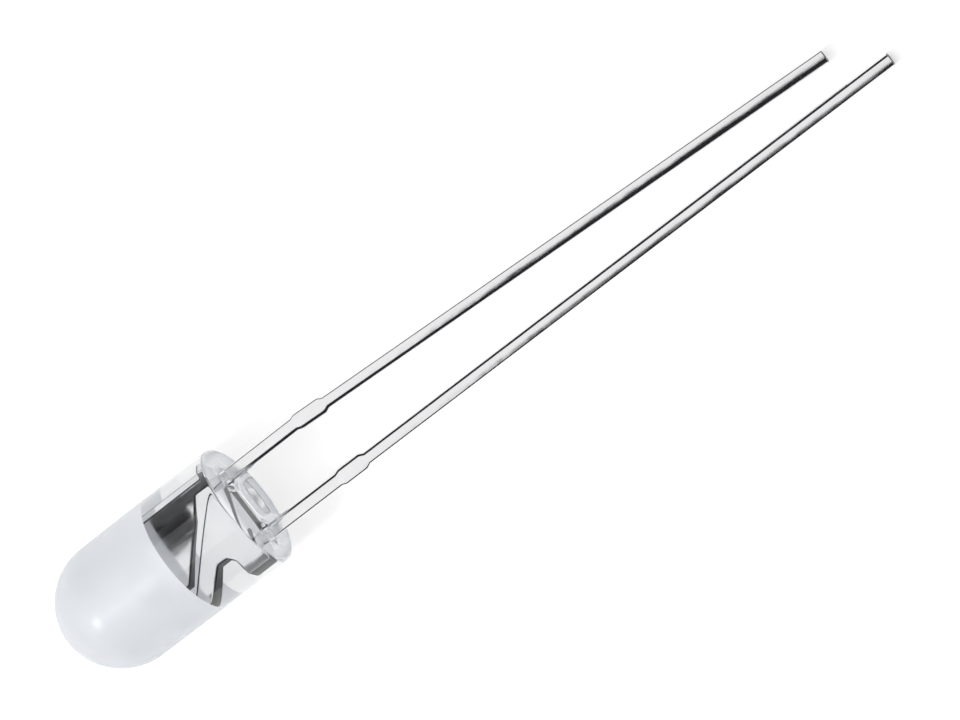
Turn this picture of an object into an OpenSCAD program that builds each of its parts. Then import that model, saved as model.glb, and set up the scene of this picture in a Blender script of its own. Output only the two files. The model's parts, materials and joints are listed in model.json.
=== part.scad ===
// Round through-hole LED with two straight leads, lying on its side as it comes to rest.
// Each piece is drawn upright, with the seat of the lens on z = 0, the dome up and the
// leads down; lay_down() then turns it onto the surface that it rests on.
// The origin is the centre of the seat. Lengths are in millimetres, angles in degrees.

/* [Lens] */
// Diameter of the lens
lens_d = 5; // [4.6:0.1:6]
// Length of the lens from its seat to the tip of the dome
lens_len = 8.7; // [8.3:0.1:12]
// Rounding of the rim around the seat
rim_r = 0.12; // [0.05:0.01:0.3]

/* [Leads] */
// Thickness of the sheet that both frames are stamped from
sheet_t = 0.5; // [0.4:0.01:0.6]
// Distance between the centres of the leads at the seat
lead_pitch = 2.54; // [2.4:0.01:2.8]
// Width of each lead below its tie bar stub
lead_w = 0.5; // [0.4:0.01:0.6]
// Width of each lead between the seat and its tie bar stub
neck_w = 0.55; // [0.45:0.01:0.65]
// Rounding of the long edges of the leads
edge_r = 0.08; // [0.02:0.01:0.15]
// Reach of the longer anode lead below the seat
anode_reach = 27.9; // [15:0.1:35]
// Reach of the shorter cathode lead below the seat
cathode_reach = 26.2; // [14:0.1:34]
// Lean of the anode lead away from its neighbour, from the top of its stub down
anode_lean = 0.2; // [0:0.1:2]
// Lean of the cathode lead towards its neighbour, from the top of its stub down
cathode_lean = 3; // [0:0.1:3.5]
// Distance from the seat down to the tie bar stubs
stub_drop = 3.4; // [1.5:0.1:6]
// Length of the tie bar stubs
stub_len = 1.2; // [0.6:0.1:2]
// Width across each tie bar stub
stub_w = 0.68; // [0.65:0.01:0.9]
// Sideways offset of both frames from the axis of the lens
frame_offset = -0.02; // [-0.3:0.01:0.3]

/* [Slot between the frames] */
// Slope of the slot, measured from the vertical
slot_angle = 33.4; // [28:0.2:36]
// Width of the slot
slot_w = 0.22; // [0.15:0.01:0.3]
// Height at which the middle of the slot crosses the middle of the frames
slot_z = 2.1; // [1.9:0.05:2.3]

/* [Anode post] */
// Height of the foot's underside above the seat
foot_z = 0.45; // [0.3:0.05:0.6]
// Gap between the toe of the foot and the cathode leg
toe_gap = 0.2; // [0.15:0.01:0.3]
// Width of the sloping arm
arm_w = 0.55; // [0.45:0.01:0.6]
// Depth of the notch that keys the post into the lens
notch_depth = 0.8; // [0.6:0.05:0.9]
// Height of the floor of the notch above the seat
notch_z = 1.4; // [1.2:0.05:1.5]
// Height of the bonding face on top of the post
post_z = 5; // [4.8:0.1:5.5]
// Gap between the post and the cup head
post_gap = 0.35; // [0.25:0.05:0.4]

/* [Cathode anvil] */
// How far the anvil's outer edge is set in from the outer side of the neck
anvil_inset = 0.25; // [0:0.01:0.3]
// Height at which the anvil widens from the cathode leg
leg_z = 1.1; // [0.9:0.05:1.3]
// Height of the anvil's lowest corner beside the slot
anvil_z = 1.7; // [1.55:0.05:1.9]
// Height at which the anvil's outer shoulder starts to slope in
shoulder_z = 3.6; // [3.4:0.1:3.8]

/* [Reflector cup] */
// Diameter of the round head that holds the cup
head_d = 1.5; // [1.4:0.05:1.6]
// Height of the straight side of the head
head_len = 0.8; // [0.6:0.05:0.9]
// Height of the cone that blends the head into the anvil
head_cone = 0.5; // [0.3:0.05:0.6]
// Height of the cup's rim above the seat
cup_z = 5; // [4.9:0.05:5.3]
// Diameter of the cup at its rim
cup_rim_d = 1.1; // [1:0.05:1.2]
// Diameter of the cup's floor
cup_floor_d = 0.64; // [0.55:0.01:0.8]
// Depth of the cup
cup_depth = 0.42; // [0.35:0.01:0.5]

/* [Chip] */
// Length of each side of the square chip
die_w = 0.3; // [0.2:0.01:0.36]
// Thickness of the chip
die_t = 0.18; // [0.1:0.01:0.25]
// Thickness of the silver adhesive under the chip
glue_t = 0.03; // [0.02:0.01:0.06]
// Margin of the adhesive around the chip
glue_margin = 0.03; // [0.01:0.01:0.05]

/* [Bond wire] */
// Diameter of the wire
wire_d = 0.03; // [0.02:0.005:0.05]
// Diameter of the ball that bonds the wire to the chip
ball_d = 0.09; // [0.06:0.01:0.12]
// Height of the ball
ball_h = 0.03; // [0.02:0.01:0.05]
// Height of the wire's loop above the cup's rim
loop_h = 0.45; // [0.3:0.05:0.8]
// Radius of the bends at the two ends of the loop
loop_r = 0.22; // [0.1:0.02:0.3]

/* [Hidden] */
$fn = 64;
small_fn = 32;
corner_steps = 4;

lens_r = lens_d / 2;
barrel_len = lens_len - lens_r;
lead_x = lead_pitch / 2;
neck_out_x = lead_x + neck_w / 2;
leg_out_x = neck_out_x - anvil_inset;
leg_in_x = lead_x - neck_w / 2;
head_r = head_d / 2;
head_z = cup_z - head_len;
head_chord = sqrt(pow(head_r, 2) - pow(sheet_t / 2, 2));
cup_floor_z = cup_z - cup_depth;
plate_top_z = (head_z + cup_floor_z) / 2;
toe_x = leg_in_x - toe_gap;
post_in_x = -head_r - post_gap;
notch_x = -neck_out_x + notch_depth;
notch_chamfer = 0.2;
corner_r = 0.1;
foot_r = 0.06;
neck_lap = 0.1;
glue_z = cup_floor_z;
die_z = glue_z + glue_t;
ball_z = die_z + die_t;
loop_z = cup_z + loop_h;
post_x = (post_in_x - neck_out_x) / 2;
glue_d = die_w * sqrt(2) + 2 * glue_margin;

// How far the dome is raised at rest: the surface touches the rounded rim, whose arc is
// centred rim_drop below the lens axis, and a lead's corner, sheet_t / 2 below that axis
rim_drop = lens_r - rim_r;
contact_rise = rim_drop - sheet_t / 2;
contact_run = max(anode_reach, cathode_reach) + rim_r;
rest_tilt = acos(-rim_r / norm([contact_rise, contact_run])) - atan2(contact_run, contact_rise);

function unit(v) = v / norm(v);

// Where an edge parallel to the slot, at a given distance from its middle line, is at height z
function edge_x(z, away_from_middle) =
    (slot_z - z) * tan(slot_angle) + away_from_middle / cos(slot_angle);

// The height at which that edge is at x
function edge_z(x, away_from_middle) =
    slot_z - (x - away_from_middle / cos(slot_angle)) / tan(slot_angle);

// The points of an arc of radius r that rounds corner b between its neighbours a and c
function rounded_corner(a, b, c, r) =
    let (
        to_a = unit(a - b),
        to_c = unit(c - b),
        half = acos(to_a * to_c) / 2,
        middle = b + unit(to_a + to_c) * r / sin(half),
        start = b + to_a * r / tan(half),
        from = atan2(start[1] - middle[1], start[0] - middle[0]),
        side = sign(to_a[1] * to_c[0] - to_a[0] * to_c[1]),
        turn = side * (180 - 2 * half)
    )
    [for (i = [0 : corner_steps])
        middle + r * [cos(from + turn * i / corner_steps), sin(from + turn * i / corner_steps)]];

// An outline whose corners are [x, z, radius]
function rounded_outline(corners) =
    let (n = len(corners), flat = [for (c = corners) [c[0], c[1]]])
    [for (i = [0 : n - 1])
        each corners[i][2] == 0
            ? [flat[i]]
            : rounded_corner(flat[(i + n - 1) % n], flat[i], flat[(i + 1) % n], corners[i][2])];

// Turns an upright piece onto the surface, dome raised, resting on the rim of the seat and on
// the flat end of the longer lead.
module lay_down() {
    rotate([rest_tilt - 90, 0, 90])
        children();
}

module rounded_bar_section(w) {
    flat_w = w - 2 * edge_r;
    flat_t = sheet_t - 2 * edge_r;
    square([w, flat_t], center = true);
    square([flat_w, sheet_t], center = true);
    for (sx = [-1, 1], sy = [-1, 1])
        translate([sx * flat_w / 2, sy * flat_t / 2])
            circle(edge_r, $fn = small_fn);
}

module bar(z_low, z_high, w) {
    translate([0, 0, z_low])
        linear_extrude(z_high - z_low)
            rounded_bar_section(w);
}

module plate(corners) {
    rotate([90, 0, 0])
        linear_extrude(sheet_t, center = true)
            polygon(rounded_outline(corners));
}

// One lead at x, leaning by lean towards +x from the top of its stub down. The neck and the
// shank both run on to the middle of the stub.
module lead(x, lean, reach) {
    leaning_len = (reach - stub_drop) / cos(lean);
    translate([x, 0, 0]) {
        bar(-stub_drop - stub_len / 2, foot_z + neck_lap, neck_w);
        translate([0, 0, -stub_drop])
            rotate([0, -lean, 0]) {
                bar(-stub_len, 0, stub_w);
                bar(-leaning_len, -stub_len / 2, lead_w);
            }
    }
}

module in_frame() {
    translate([frame_offset, 0, 0])
        children();
}

module cathode_stamping() {
    in_frame()
        difference() {
            union() {
                lead(lead_x, -cathode_lean, cathode_reach);
                plate([
                    [leg_in_x, foot_z, 0],
                    [leg_out_x, foot_z, 0],
                    [leg_out_x, shoulder_z, corner_r],
                    [head_chord, head_z, 0],
                    [head_chord, plate_top_z, 0],
                    [-head_chord, plate_top_z, 0],
                    [-head_chord, edge_z(-head_chord, slot_w / 2), 0],
                    [edge_x(anvil_z, slot_w / 2), anvil_z, corner_r],
                    [leg_in_x, leg_z, corner_r]
                ]);
                translate([0, 0, head_z])
                    cylinder(h = head_len, r = head_r);
                translate([0, 0, head_z - head_cone])
                    cylinder(h = head_cone, r1 = sheet_t / 2, r2 = head_r);
            }
            translate([0, 0, cup_floor_z])
                cylinder(h = cup_depth, d1 = cup_floor_d, d2 = cup_rim_d);
        }
}

module anode_stamping() {
    in_frame() {
        lead(-lead_x, -anode_lean, anode_reach);
        plate([
            [-neck_out_x, foot_z, 0],
            [toe_x, foot_z, foot_r],
            [toe_x, edge_z(toe_x, -slot_w / 2), foot_r],
            [post_in_x, edge_z(post_in_x, -slot_w / 2), corner_r],
            [post_in_x, post_z, foot_r],
            [-neck_out_x, post_z, foot_r],
            [-neck_out_x, edge_z(-neck_out_x, -slot_w / 2 - arm_w), corner_r],
            [notch_x, edge_z(notch_x, -slot_w / 2 - arm_w), corner_r],
            [notch_x, notch_z + notch_chamfer, corner_r],
            [notch_x - notch_chamfer, notch_z, corner_r],
            [-neck_out_x, notch_z, corner_r]
        ]);
    }
}

module chip() {
    in_frame()
        translate([-die_w / 2, -die_w / 2, die_z])
            cube([die_w, die_w, die_t]);
}

module glue_pad() {
    in_frame()
        translate([0, 0, glue_z])
            cylinder(h = glue_t, d = glue_d);
}

// A quarter turn of wire about the y axis, which starts at angle from
module wire_bend(x, z, from) {
    translate([x, 0, z])
        rotate([90, -from, 0])
            rotate_extrude(angle = 90)
                translate([loop_r, 0])
                    circle(d = wire_d, $fn = small_fn);
}

module wire_rise(x, z_low, z_high) {
    translate([x, 0, z_low])
        cylinder(h = z_high - z_low, d = wire_d, $fn = small_fn);
}

module gold_wire() {
    bend_z = loop_z - loop_r;
    in_frame() {
        translate([0, 0, ball_z])
            cylinder(h = ball_h, d = ball_d, $fn = small_fn);
        wire_rise(0, ball_z, bend_z);
        wire_bend(-loop_r, bend_z, 0);
        translate([-loop_r, 0, loop_z])
            rotate([0, -90, 0])
                cylinder(h = -post_x - 2 * loop_r, d = wire_d, $fn = small_fn);
        wire_bend(post_x + loop_r, bend_z, 90);
        wire_rise(post_x, post_z, bend_z);
        translate([post_x, 0, post_z])
            cylinder(h = ball_h, d = ball_d, $fn = small_fn);
    }
}

module lens_body() {
    rotate_extrude() {
        square([lens_r - rim_r, rim_r]);
        translate([0, rim_r])
            square([lens_r, barrel_len - rim_r]);
        translate([lens_r - rim_r, rim_r])
            intersection() {
                circle(rim_r);
                translate([0, -rim_r])
                    square(rim_r);
            }
        translate([0, barrel_len])
            intersection() {
                circle(lens_r);
                square(lens_r);
            }
    }
}

module lens() {
    color([0.86, 0.88, 0.9, 0.45])
        lay_down()
            difference() {
                lens_body();
                cathode_stamping();
                anode_stamping();
                chip();
                glue_pad();
                gold_wire();
            }
}

module cathode_frame() {
    color("silver")
        lay_down()
            cathode_stamping();
}

module anode_frame() {
    color("lightgray")
        lay_down()
            anode_stamping();
}

module led_die() {
    color("khaki")
        lay_down()
            chip();
}

module die_attach() {
    color("gray")
        lay_down()
            glue_pad();
}

module bond_wire() {
    color("gold")
        lay_down()
            gold_wire();
}

lens();
cathode_frame();
anode_frame();
led_die();
die_attach();
bond_wire();
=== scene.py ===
"""Looks of the through-hole LED: its lens, its plated lead frame and the studio around it."""

import json
import math

import bmesh
import bpy
import numpy as np
from mathutils import Matrix, Vector


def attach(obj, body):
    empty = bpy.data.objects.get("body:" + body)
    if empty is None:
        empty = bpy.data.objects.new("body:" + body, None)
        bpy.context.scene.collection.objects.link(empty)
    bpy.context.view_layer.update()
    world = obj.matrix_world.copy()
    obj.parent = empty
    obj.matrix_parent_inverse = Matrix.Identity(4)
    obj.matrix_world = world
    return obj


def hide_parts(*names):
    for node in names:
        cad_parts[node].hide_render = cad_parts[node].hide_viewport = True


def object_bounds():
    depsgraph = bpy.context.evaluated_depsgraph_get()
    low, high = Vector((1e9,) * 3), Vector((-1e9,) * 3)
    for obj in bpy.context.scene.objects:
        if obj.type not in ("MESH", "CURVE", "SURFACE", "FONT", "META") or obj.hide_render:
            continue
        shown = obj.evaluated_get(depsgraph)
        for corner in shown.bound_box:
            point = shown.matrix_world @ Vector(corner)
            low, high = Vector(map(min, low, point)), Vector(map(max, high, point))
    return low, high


MM = 0.001

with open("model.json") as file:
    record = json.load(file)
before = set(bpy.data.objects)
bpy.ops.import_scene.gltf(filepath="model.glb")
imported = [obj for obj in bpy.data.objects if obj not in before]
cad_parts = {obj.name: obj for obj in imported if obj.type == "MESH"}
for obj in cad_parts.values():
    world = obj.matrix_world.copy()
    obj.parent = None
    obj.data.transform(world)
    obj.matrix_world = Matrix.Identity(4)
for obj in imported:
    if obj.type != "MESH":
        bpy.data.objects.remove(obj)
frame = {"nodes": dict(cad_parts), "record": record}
cad_low, cad_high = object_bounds()
mounts = {mount["name"]: mount for mount in frame["record"]["mounts"]}

# The LED's own axes: up through the dome, across from the anode to the cathode, and through
# the lead frame towards the floor. Its origin is the centre of the seat.
seat = Vector(mounts["seating_face"]["pos_m"])
up = -Vector(mounts["seating_face"]["axis"]).normalized()
cathode_at = Vector(mounts["cathode_lead"]["pos_m"])
anode_at = Vector(mounts["anode_lead"]["pos_m"])
across = (cathode_at - anode_at).normalized()
through = up.cross(across)
led_to_row = Matrix.Translation(seat) @ Matrix((across, through, up)).transposed().to_4x4()

barrel = mounts["lens_barrel"]
lens_r = barrel["dims"]["r_mm"] * MM
barrel_half = barrel["dims"]["length_mm"] * MM / 2
barrel_mid = (Vector(barrel["pos_m"]) - seat).dot(up)
rim_r = barrel_mid - barrel_half
dome_z = barrel_mid + barrel_half

# The sheet swells a little towards the pressed cup: how far, and from which height to which,
# in millimetres
swell = 0.3
swell_start, swell_end = 1.4, 3.8
# Height above the seat at which the frosted part of the lens begins, and at which it is
# clearest, with the share of light that it lets through at each
frost_z, clearest_z = 3.0 * MM, 6.0 * MM
frost_share, clearest_share = 0.2, 0.5
# Refractive index of the resin
resin_ior = 1.53
# How far the cast face at the seat is sunk, how far it climbs down each lead and over what
# width, and about half of a lead's width there
seat_dish = 0.06 * MM
meniscus_h = 0.14 * MM
meniscus_reach = 0.22 * MM
lead_half = 0.26 * MM

# Rounding that stamping and plating leave on the edges of the lead frame, in millimetres
stamped_edge = 0.12
lead_inner_edge = 0.2
lead_outer_edge = 0.08
# A plate's face is one of its sheared sides where its normal has less than this through the
# sheet. That side keeps the bright plating where its normal has more than this towards the
# cathode, and the other sheared sides are painted near-black as shade
sheared_below = 0.02
bright_side_above = 0.5
# Cosine of the lean of a plate's rounded edge where its painted shade begins, and where it is full
edge_shade_from, edge_shade_to = 0.985, 0.94
# Colours of the plating and of the painted shade on its rounded edges, and how much rougher those
# edges are
plating_tone, edge_shade_tone = (0.83, 0.83, 0.84), (0.08, 0.08, 0.08)
edge_roughness = 0.3
# Height of the faint waves in the plating, in millimetres
wave_height = 0.01
# Rounding where a lead is sheared off
lead_end_edge = 0.05
# Level of the sky where it lights a surface, and what the floor adds to show as white
sky_level = 0.8
floor_lift = 0.3
# Height above the seat at which a swept lead takes over from the stamped plate, in millimetres
plate_cut = 0.3
# How far the sweep runs on into the plate, in millimetres
lead_overlap = 0.35
# Corners of a CAD mesh that are nearer than this, in millimetres, are one corner
corner_gap = 0.0005
# An edge of a stamping stays sharp where its faces turn by more than this
sharp_angle = math.radians(40)


# ---------------------------------------------------------------- node helpers

def new_material(name):
    """A material with an empty node tree."""
    material = bpy.data.materials.new(name)
    material.use_nodes = True
    material.node_tree.nodes.clear()
    return material


def add(tree, kind, **values):
    """A node of that kind. set_operation stands for its property operation, i0 for its first
    input, and any other name for the input of that name. A value that is a socket is linked to
    the input, and any other value is set."""
    node = tree.nodes.new(kind)
    for name, value in values.items():
        if name.startswith("set_"):
            setattr(node, name.removeprefix("set_"), value)
            continue
        by_number = name[0] == "i" and name[1:].isdigit()
        socket = node.inputs[int(name[1:]) if by_number else name.replace("_", " ")]
        if isinstance(value, bpy.types.NodeSocket):
            tree.links.new(value, socket)
        else:
            socket.default_value = value
    return node


def millimetres(tree):
    """The piece's own coordinates in millimetres."""
    place = add(tree, "ShaderNodeTexCoord")
    return add(tree, "ShaderNodeMapping", Vector=place.outputs["Object"],
               Scale=(1000, 1000, 1000)).outputs[0]


def noise(tree, vector, scale, detail=2.0, stretch=(1, 1, 1)):
    """Smooth noise, drawn out along an axis where stretch is below 1."""
    moved = add(tree, "ShaderNodeMapping", Vector=vector, Scale=stretch).outputs[0]
    return add(tree, "ShaderNodeTexNoise", Vector=moved, Scale=scale, Detail=detail).outputs["Fac"]


def between(tree, factor, low, high, start=0.3, end=0.7):
    """factor from start to end, as a value from low to high. Most of a noise is in 0.3 to 0.7."""
    return add(tree, "ShaderNodeMapRange", Value=factor, From_Min=start, From_Max=end,
               To_Min=low, To_Max=high).outputs[0]


def bump(tree, height, distance, **normal):
    """A normal that is tilted as if the surface rose by height times distance."""
    return add(tree, "ShaderNodeBump", Height=height, Distance=distance, Strength=1.0,
               **normal).outputs[0]


def blend(tree, share, first, second):
    """The first colour where share is 0 and the second where it is 1."""
    return add(tree, "ShaderNodeMix", set_data_type="RGBA", i0=share,
               i6=first + (1,), i7=second + (1,)).outputs[2]


def above_seat(tree, at):
    """Height above the seat, in millimetres."""
    return add(tree, "ShaderNodeVectorMath", set_operation="DOT_PRODUCT", i0=at,
               i1=up).outputs["Value"]


def shows_background(tree):
    """1 for the rays that show the background: straight, in a mirror or through glass."""
    path = add(tree, "ShaderNodeLightPath")
    either = add(tree, "ShaderNodeMath", set_operation="MAXIMUM", i0=path.outputs["Is Camera Ray"],
                 i1=path.outputs["Is Glossy Ray"])
    return add(tree, "ShaderNodeMath", set_operation="MAXIMUM", i0=either.outputs[0],
               i1=path.outputs["Is Transmission Ray"]).outputs[0]


def finish_material(tree, shader):
    """Shows the shader on the surface."""
    add(tree, "ShaderNodeOutputMaterial", Surface=shader)


# ---------------------------------------------------------------- materials

def clear_epoxy():
    """The glossy resin near the seat, with a faint flow in its surface."""
    material = new_material("clear_epoxy")
    tree = material.node_tree
    flow = bump(tree, noise(tree, millimetres(tree), 1.1), 0.004 * MM)
    glass = add(tree, "ShaderNodeBsdfPrincipled", Base_Color=(0.96, 0.975, 0.985, 1),
                Roughness=0.02, IOR=resin_ior, Normal=flow)
    glass.inputs["Transmission Weight"].default_value = 1.0
    finish_material(tree, glass.outputs[0])
    return material


def frosted_epoxy():
    """The etched resin: milky at its edge, and a little clearer towards the dome."""
    material = new_material("frosted_epoxy")
    tree = material.node_tree
    at = millimetres(tree)
    grain = noise(tree, at, 14.0, 3.0)
    clear = between(tree, above_seat(tree, at), frost_share, clearest_share,
                    start=frost_z / MM, end=clearest_z / MM)
    glass = add(tree, "ShaderNodeBsdfPrincipled", Base_Color=(0.75, 0.775, 0.815, 1),
                Roughness=between(tree, grain, 0.5, 0.62), IOR=resin_ior,
                Normal=bump(tree, grain, 0.004 * MM), Transmission_Weight=clear)
    glass.inputs["Coat Weight"].default_value = 0.4
    glass.inputs["Coat Roughness"].default_value = 0.26
    finish_material(tree, glass.outputs[0])
    return material


def plating_relief(tree, at):
    """Height, in millimetres, of the plated faces: faint waves, and the swell towards the cup."""
    waves = noise(tree, at, 1.4, 1.0)
    rise = add(tree, "ShaderNodeMapRange", set_interpolation_type="SMOOTHSTEP",
               Value=above_seat(tree, at), From_Min=swell_start, From_Max=swell_end,
               To_Min=0.0, To_Max=swell).outputs[0]
    return add(tree, "ShaderNodeMath", set_operation="MULTIPLY_ADD", i0=waves, i1=wave_height,
               i2=rise).outputs[0]


def plating_roughness(tree, at):
    """Faint streaks in the plating, along the strip that the frames were cut from."""
    return between(tree, noise(tree, at, 9.0, 4.0, stretch=(0.08, 1, 1)), 0.1, 0.18)


def plated_steel():
    """Bright plating over stamped steel."""
    material = new_material("plated_steel")
    tree = material.node_tree
    at = millimetres(tree)
    metal = add(tree, "ShaderNodeBsdfPrincipled", Metallic=1.0, Base_Color=plating_tone + (1,),
                Roughness=plating_roughness(tree, at),
                Normal=bump(tree, plating_relief(tree, at), MM))
    finish_material(tree, metal.outputs[0])
    return material


def plated_plate():
    """The same plating on the plates, whose edges the tool rounded; there it is rougher and
    painted near-black as shade.
    """
    material = new_material("plated_plate")
    tree = material.node_tree
    at = millimetres(tree)
    rounded = add(tree, "ShaderNodeBevel", set_samples=8, Radius=stamped_edge * MM).outputs[0]
    face = add(tree, "ShaderNodeNewGeometry").outputs["True Normal"]
    lean = add(tree, "ShaderNodeVectorMath", set_operation="DOT_PRODUCT", i0=rounded, i1=face)
    # Painted shade: the colour darkens to near-black where the edge rounds, and the roughness
    # rises.
    shaded_edge = between(tree, lean.outputs["Value"], 0.0, 1.0, start=edge_shade_from, end=edge_shade_to)
    rough = add(tree, "ShaderNodeMath", set_operation="MULTIPLY_ADD", i0=shaded_edge,
                i1=edge_roughness, i2=plating_roughness(tree, at))
    metal = add(tree, "ShaderNodeBsdfPrincipled", Metallic=1.0,
                Base_Color=blend(tree, shaded_edge, plating_tone, edge_shade_tone), Roughness=rough.outputs[0],
                Normal=bump(tree, plating_relief(tree, at), MM, Normal=rounded))
    finish_material(tree, metal.outputs[0])
    return material


def grained_metal(name, scale, dark, pale, roughness):
    """A coarse grain between two tones on metal: bare steel at the cut lead ends, and near-black
    painted shade on the sheared sides.
    """
    material = new_material(name)
    tree = material.node_tree
    grain = noise(tree, millimetres(tree), scale, 3.0)
    metal = add(tree, "ShaderNodeBsdfPrincipled", Metallic=1.0,
                Base_Color=blend(tree, between(tree, grain, 0, 1), dark, pale),
                Roughness=roughness, Normal=bump(tree, grain, 0.01 * MM))
    finish_material(tree, metal.outputs[0])
    return material


def semiconductor():
    """The chip: a polished crystal with a darker saw-cut grain."""
    material = new_material("semiconductor")
    tree = material.node_tree
    grain = noise(tree, millimetres(tree), 40.0, 3.0)
    tone = blend(tree, between(tree, grain, 0, 1), (0.42, 0.36, 0.16), (0.62, 0.55, 0.28))
    crystal = add(tree, "ShaderNodeBsdfPrincipled", Base_Color=tone, IOR=2.4,
                  Roughness=between(tree, grain, 0.15, 0.35))
    finish_material(tree, crystal.outputs[0])
    return material


def silver_adhesive():
    """Silver flakes in epoxy: matt grey with a fine sparkle."""
    material = new_material("silver_adhesive")
    tree = material.node_tree
    flakes = noise(tree, millimetres(tree), 60.0)
    tone = blend(tree, between(tree, flakes, 0, 1), (0.42, 0.42, 0.42), (0.72, 0.72, 0.72))
    paste = add(tree, "ShaderNodeBsdfPrincipled", Base_Color=tone, Metallic=0.6,
                Roughness=0.6, Normal=bump(tree, flakes, 0.003 * MM))
    finish_material(tree, paste.outputs[0])
    return material


def drawn_gold():
    """Gold wire, with the fine lines that drawing leaves."""
    material = new_material("drawn_gold")
    tree = material.node_tree
    streaks = noise(tree, millimetres(tree), 50.0, stretch=(1, 0.1, 1))
    tone = blend(tree, between(tree, streaks, 0, 1), (0.92, 0.68, 0.28), (1.0, 0.80, 0.42))
    gold = add(tree, "ShaderNodeBsdfPrincipled", Base_Color=tone, Metallic=1.0,
               Roughness=between(tree, streaks, 0.12, 0.25))
    finish_material(tree, gold.outputs[0])
    return material


def floor_white():
    """A white sweep: it takes the part's shadow and shows as white where it is lit."""
    material = new_material("floor_white")
    tree = material.node_tree
    paper = noise(tree, millimetres(tree), 0.4)
    tone = blend(tree, between(tree, paper, 0, 1), (0.80, 0.80, 0.80), (0.82, 0.82, 0.82))
    matt = add(tree, "ShaderNodeBsdfDiffuse", Color=tone)
    lift = add(tree, "ShaderNodeMath", set_operation="MULTIPLY", i0=shows_background(tree),
               i1=floor_lift)
    glow = add(tree, "ShaderNodeEmission", Color=(1, 1, 1, 1), Strength=lift.outputs[0])
    both = add(tree, "ShaderNodeAddShader", i0=matt.outputs[0], i1=glow.outputs[0])
    finish_material(tree, both.outputs[0])
    return material


def card_felt(name, tone):
    """Matt felt on a studio card."""
    material = new_material(name)
    tree = material.node_tree
    nap = noise(tree, millimetres(tree), 0.8)
    shades = [(level, level, level * 1.1) for level in (tone * 0.9, tone * 1.1)]
    felt = add(tree, "ShaderNodeBsdfDiffuse", Color=blend(tree, between(tree, nap, 0, 1), *shades))
    finish_material(tree, felt.outputs[0])
    return material


# ---------------------------------------------------------------- geometry helpers

def new_object(name, mesh, *materials):
    """An object in the scene with that mesh, and with those materials added."""
    piece = bpy.data.objects.new(name, mesh)
    bpy.context.scene.collection.objects.link(piece)
    for material in materials:
        piece.data.materials.append(material)
    return piece


def arc(centre, radius, start, end, steps):
    """Points of a quarter or other arc in the (radius, height) plane, angles in degrees."""
    angles = [math.radians(start + (end - start) * i / steps) for i in range(steps + 1)]
    return [(centre[0] + radius * math.cos(a), centre[1] + radius * math.sin(a)) for a in angles]


def seat_height(x, y):
    """The cast face at the seat: sunk between the rim and the leads, and drawn out along each."""
    share = math.hypot(x, y) / (lens_r - rim_r)
    height = seat_dish * max(0.0, 1 - share ** 2) ** 0.5
    for lead in (cathode_at, anode_at):
        lead_x = (lead - seat).dot(across)
        gap = math.hypot(max(abs(x - lead_x) - lead_half, 0), max(abs(y) - lead_half, 0))
        height -= (meniscus_h + seat_dish) * math.exp(-(gap / meniscus_reach) ** 2)
    return height


# ---------------------------------------------------------------- pieces

def lens_moulding():
    """The outer skin of the casting: seat, rounded rim, clear band, frosted band and dome."""
    turns = 160
    seat_rings, rim_rings, clear_rings, frosted_rings, dome_rings = 36, 8, 12, 16, 48
    inner_r = lens_r - rim_r
    profile = [(inner_r * i / seat_rings, 0.0) for i in range(1, seat_rings)]
    profile += arc((inner_r, rim_r), rim_r, -90, 0, rim_rings)
    profile += [(lens_r, rim_r + (frost_z - rim_r) * i / clear_rings)
                for i in range(1, clear_rings + 1)]
    profile += [(lens_r, frost_z + (dome_z - frost_z) * i / frosted_rings)
                for i in range(1, frosted_rings)]
    profile += arc((0.0, dome_z), lens_r, 0, 90, dome_rings)[:-1]

    mesh = bpy.data.meshes.new("lens_moulding")
    shape = bmesh.new()
    bottom = shape.verts.new((0, 0, seat_height(0, 0)))
    rings = []
    for radius, height in profile:
        ring = []
        for i in range(turns):
            angle = 2 * math.pi * i / turns
            x, y = radius * math.cos(angle), radius * math.sin(angle)
            z = height + (seat_height(x, y) if radius < inner_r and height == 0 else 0)
            ring.append(shape.verts.new((x, y, z)))
        rings.append(ring)
    top = shape.verts.new((0, 0, dome_z + lens_r))
    for i in range(turns):
        j = (i + 1) % turns
        shape.faces.new((bottom, rings[0][j], rings[0][i]))
        for low, high in zip(rings, rings[1:]):
            shape.faces.new((low[i], low[j], high[j], high[i]))
        shape.faces.new((top, rings[-1][i], rings[-1][j]))
    for face in shape.faces:
        face.smooth = True
        face.material_index = int(face.calc_center_median().z > frost_z)
    shape.transform(led_to_row)
    bmesh.ops.recalc_face_normals(shape, faces=shape.faces)
    shape.to_mesh(mesh)
    shape.free()
    return new_object("lens_moulding", mesh, clear_epoxy(), frosted_epoxy())


def cad_shape(node):
    """A CAD node's mesh in the LED's own axes, in millimetres, with its doubled corners merged."""
    shape = bmesh.new()
    shape.from_mesh(frame["nodes"][node].data)
    shape.transform(Matrix.Scale(1 / MM, 4) @ led_to_row.inverted())
    bmesh.ops.remove_doubles(shape, verts=shape.verts, dist=corner_gap)
    return shape


def section(starts, ends, height):
    """The middle and the width, across the LED, of a solid where it is cut at that height."""
    crossing = (starts[:, 2] - height) * (ends[:, 2] - height) < 0
    low, high = starts[crossing], ends[crossing]
    share = (height - low[:, 2]) / (high[:, 2] - low[:, 2])
    x = low[:, 0] + share * (high[:, 0] - low[:, 0])
    return (x.min() + x.max()) / 2, x.max() - x.min()


def rounded_section(width, thickness, right_edge, left_edge, steps=8):
    """Points round a bar's section: a rectangle with one rounding on each side."""
    points = []
    for turn, (sx, sy) in enumerate(((1, 1), (-1, 1), (-1, -1), (1, -1))):
        radius = right_edge if sx > 0 else left_edge
        centre = (sx * (width / 2 - radius), sy * (thickness / 2 - radius))
        points += arc(centre, radius, 90 * turn, 90 * (turn + 1), steps)
    return points


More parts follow.
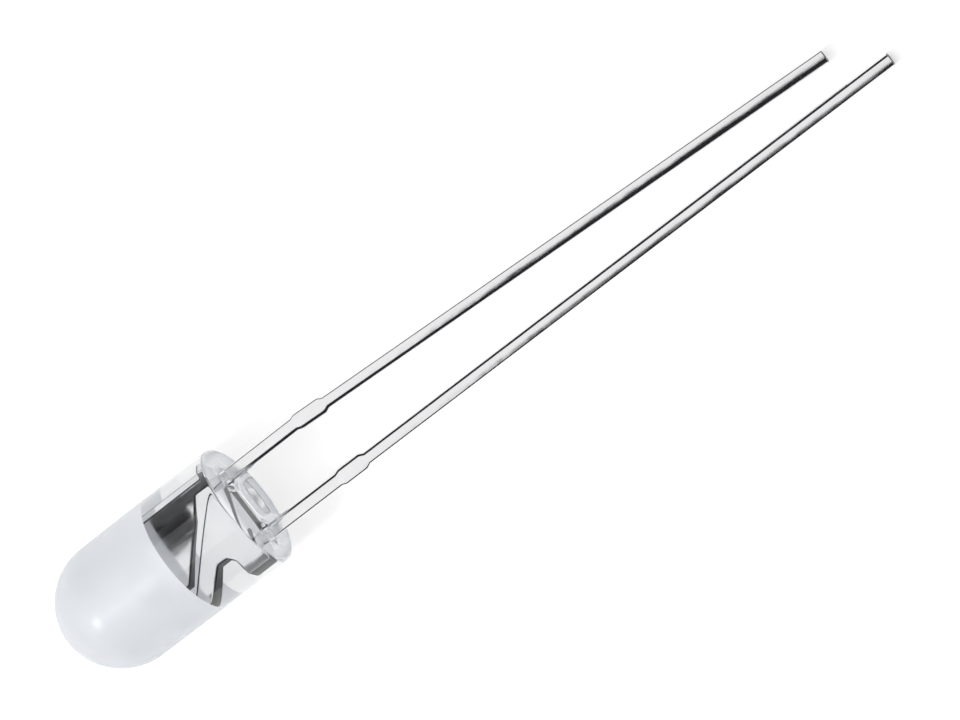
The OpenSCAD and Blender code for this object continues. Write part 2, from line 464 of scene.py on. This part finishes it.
def swept_lead(node):
    """A lead as a smooth bar, along the CAD solid's own sections from its end to the plate."""
    source = cad_shape(node)
    starts = np.array([edge.verts[0].co for edge in source.edges])
    ends = np.array([edge.verts[1].co for edge in source.edges])
    source.free()
    end_z = min(starts[:, 2].min(), ends[:, 2].min())
    near_end = starts[:, 2] < end_z + 1
    thickness = np.ptp(starts[near_end, 1])
    # The end face itself has no section, so the first one is taken a little above it.
    first_cut = end_z + 2 * lead_end_edge
    ring_count = 150
    bar_start, bar_end = end_z + lead_end_edge, plate_cut + lead_overlap
    heights = [end_z] + [bar_start + (bar_end - bar_start) * i / ring_count
                         for i in range(ring_count + 1)]
    shape = bmesh.new()
    rings = []
    for height in heights:
        middle, width = section(starts, ends, min(max(height, first_cut), plate_cut))
        edges = (lead_inner_edge, lead_outer_edge)
        right_edge, left_edge = edges if middle < 0 else edges[::-1]
        drawn_in = 1 - 2 * lead_end_edge / width if height == end_z else 1
        rings.append([shape.verts.new((middle + drawn_in * x, drawn_in * y, height))
                      for x, y in rounded_section(width, thickness, right_edge, left_edge)])
    for low, high in zip(rings, rings[1:]):
        for i in range(len(low)):
            j = (i + 1) % len(low)
            shape.faces.new((low[i], low[j], high[j], high[i]))
    for ring in (rings[0], rings[-1]):
        shape.faces.new(ring)
    bmesh.ops.recalc_face_normals(shape, faces=shape.faces)
    return shape


def plate(node):
    """The stamped plate above the leads."""
    shape = cad_shape(node)
    bmesh.ops.bisect_plane(shape, geom=shape.verts[:] + shape.edges[:] + shape.faces[:],
                           plane_co=(0, 0, plate_cut), plane_no=(0, 0, 1), clear_inner=True)
    bmesh.ops.holes_fill(shape, edges=[edge for edge in shape.edges if edge.is_boundary])
    return shape


def as_object(name, shape):
    """An object made from a bmesh, which is then freed."""
    mesh = bpy.data.meshes.new(name)
    shape.to_mesh(mesh)
    shape.free()
    return new_object(name, mesh)


def metals():
    """The four finishes of a stamping, in the order of lead, cut_end, plated and shaded_side, the
    last being painted shade.
    """
    cut = grained_metal("cut_steel", 12.0, (0.16, 0.15, 0.14), (0.34, 0.33, 0.31), 0.5)
    # The sheared sides' near-black is painted shade, not the colour of torn steel.
    painted_shade_side = grained_metal("painted_shade_sheared_side", 16.0, (0.035, 0.035, 0.037), (0.08, 0.08, 0.08), 0.45)
    return plated_steel(), cut, plated_plate(), painted_shade_side


def finish_of(face, end_z):
    """Which of the metals a face of a stamping has. Sheared sides that look to the cathode keep
    the plating, and the others are painted near-black as shade."""
    lead, cut_end, plated, shaded_side = range(4)
    if face.center.z < end_z + lead_end_edge:
        return cut_end
    if face.center.z <= plate_cut:
        return lead
    sheared = abs(face.normal.y) < sheared_below
    # Sheared sides that don't look to the cathode get the painted shade.
    return shaded_side if sheared and face.normal.x < bright_side_above else plated


def stamping(node, name, finishes):
    """One stamping: its plate and its lead as one mesh."""
    whole = as_object(name, plate(node))
    lead = as_object(name + "_lead", swept_lead(node))
    union = whole.modifiers.new("union", "BOOLEAN")
    union.operation = "UNION"
    union.object = lead
    union.solver = "EXACT"
    graph = bpy.context.evaluated_depsgraph_get()
    made = bpy.data.meshes.new_from_object(whole.evaluated_get(graph))
    bpy.data.objects.remove(lead)
    bpy.data.objects.remove(whole)
    end_z = min(vertex.co.z for vertex in made.vertices)
    made.materials.clear()
    for finish in finishes:
        made.materials.append(finish)
    # The CAD mesh's stored normals no longer fit after the cuts.
    stored_normals = made.attributes.get("custom_normal")
    if stored_normals:
        made.attributes.remove(stored_normals)
    made.set_sharp_from_angle(angle=sharp_angle)
    for face in made.polygons:
        face.material_index = finish_of(face, end_z)
        if face.center.z > plate_cut:
            face.use_smooth = sheared_below < abs(face.normal.y) < 1 - sheared_below
    made.transform(led_to_row @ Matrix.Scale(MM, 4))
    return new_object(name, made)


def floor():
    """A square sheet at the height that the part lies on."""
    half = 0.4
    mesh = bpy.data.meshes.new("floor")
    corners = [(-half, -half, cad_low.z), (half, -half, cad_low.z),
               (half, half, cad_low.z), (-half, half, cad_low.z)]
    mesh.from_pydata(corners, [], [(0, 1, 2, 3)])
    return new_object("floor", mesh, floor_white())


def card(name, corners, tone):
    """A studio card that shows in the metal and through the glass, and throws no shadow."""
    mesh = bpy.data.meshes.new(name)
    mesh.from_pydata(corners, [], [tuple(range(len(corners)))])
    piece = new_object(name, mesh, card_felt(name, tone))
    piece.visible_camera = False
    piece.visible_diffuse = False
    piece.visible_shadow = False


def cards():
    """Dark over the anode's side and down to the floor there, a higher dark card beyond the
    cathode, and a dark one high up beyond the leads, with a wide grey one behind it. They stop
    short of the other directions, so that the metal keeps some white sky from every side."""
    height, side = 0.3, 0.5
    near, far = 0.25, -0.4
    cathode_height = 0.6
    # The overhead card ends beside the LED, and is cut back beyond its dome
    edge, cut_back = -0.012, -0.12
    cut_from, cut_to = -0.024, -0.035
    black = 0.03
    base = cad_low.z + 0.001
    card("dark_overhead", [(far, cut_back, height), (cut_to, cut_back, height),
                           (cut_from, edge, height), (near, edge, height),
                           (near, -side, height), (far, -side, height)], black)
    card("anode_side", [(far, -side, base), (near, -side, base),
                        (near, -side, height), (far, -side, height)], black)
    card("cathode_side", [(far, side, base), (near, side, base),
                          (near, side, cathode_height), (far, side, cathode_height)], 0.04)
    card("dark_end", [(0.4, -0.3, 0.18), (0.4, 0.15, 0.18),
                      (0.13, 0.15, height), (0.13, -0.3, height)], black)
    card("grey_end", [(0.45, -0.8, base), (0.45, 0.8, base),
                      (0.45, 0.8, 0.45), (0.45, -0.8, 0.45)], 0.5)


# ---------------------------------------------------------------- studio

def studio_world():
    """An even white sky, which also is the background in mirrors and through glass."""
    world = bpy.data.worlds.new("studio")
    bpy.context.scene.world = world
    world.use_nodes = True
    tree = world.node_tree
    tree.nodes.clear()
    level = between(tree, shows_background(tree), sky_level, 1.0, start=0, end=1)
    back = add(tree, "ShaderNodeBackground", Color=(1, 1, 1, 1), Strength=level)
    add(tree, "ShaderNodeOutputWorld", Surface=back.outputs[0])


def area_light(name, towards, distance, width, length, watts, in_mirrors):
    """A softbox in that direction from the lens, facing it, its length along the LED. Its own
    shape shows in mirrors, if at all, but not through the lens."""
    lamp = bpy.data.lights.new(name, "AREA")
    lamp.shape = "RECTANGLE"
    lamp.size = width
    lamp.size_y = length
    lamp.energy = watts
    light = bpy.data.objects.new(name, lamp)
    bpy.context.scene.collection.objects.link(light)
    way = Vector(towards).normalized()
    light.location = way * distance
    light.rotation_euler = way.to_track_quat("Z", "Y").to_euler()
    light.visible_glossy = in_mirrors
    light.visible_transmission = False


def camera():
    """Looks down on the part from beyond its leads, which run up to the right in the picture."""
    elevation = math.radians(73.76)
    roll = math.radians(-127.54)
    distance = 77.1 * MM
    aim = Vector((10.36, -0.99, 0)) * MM
    back = Vector((math.cos(elevation), 0, math.sin(elevation)))
    level = Vector((0, 1, 0))
    rise = back.cross(level)
    right = math.cos(roll) * level + math.sin(roll) * rise
    top = math.cos(roll) * rise - math.sin(roll) * level
    data = bpy.data.cameras.new("camera")
    data.lens = 81.8
    data.sensor_width = 36
    data.clip_start = 1 * MM
    data.clip_end = 10
    view = bpy.data.objects.new("camera", data)
    bpy.context.scene.collection.objects.link(view)
    view.matrix_world = Matrix.Translation(aim + back * distance) @ \
        Matrix((right, top, back)).transposed().to_4x4()
    bpy.context.scene.camera = view


# ---------------------------------------------------------------- build

camera()
studio_world()
area_light("key", towards=(-0.2, 0.1, 1), distance=0.2, width=0.12, length=0.12,
           watts=0.06, in_mirrors=False)
area_light("tip_light", towards=(-0.55, -0.04, 0.83), distance=0.12, width=0.022, length=0.022,
           watts=0.035, in_mirrors=True)
area_light("streak_light", towards=(-0.5, -0.06, 0.86), distance=0.12, width=0.012, length=0.04,
           watts=0.01, in_mirrors=True)
floor()
cards()

moulding = lens_moulding()
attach(moulding, "root")
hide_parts("lens")
# Clear resin lets the sky's light through to the floor; the lamps still cast its shadow.
moulding.visible_diffuse = False

finishes = metals()
for node, name in (("cathode_frame", "cathode_stamping"), ("anode_frame", "anode_stamping")):
    piece = stamping(node, name, finishes)
    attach(piece, "root")
    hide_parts(node)

for node, material in (("led_die", semiconductor()), ("die_attach", silver_adhesive()),
                       ("bond_wire", drawn_gold())):
    solid = frame["nodes"][node]
    solid.data.materials.clear()
    solid.data.materials.append(material)

bpy.context.scene.view_settings.view_transform = "Standard"
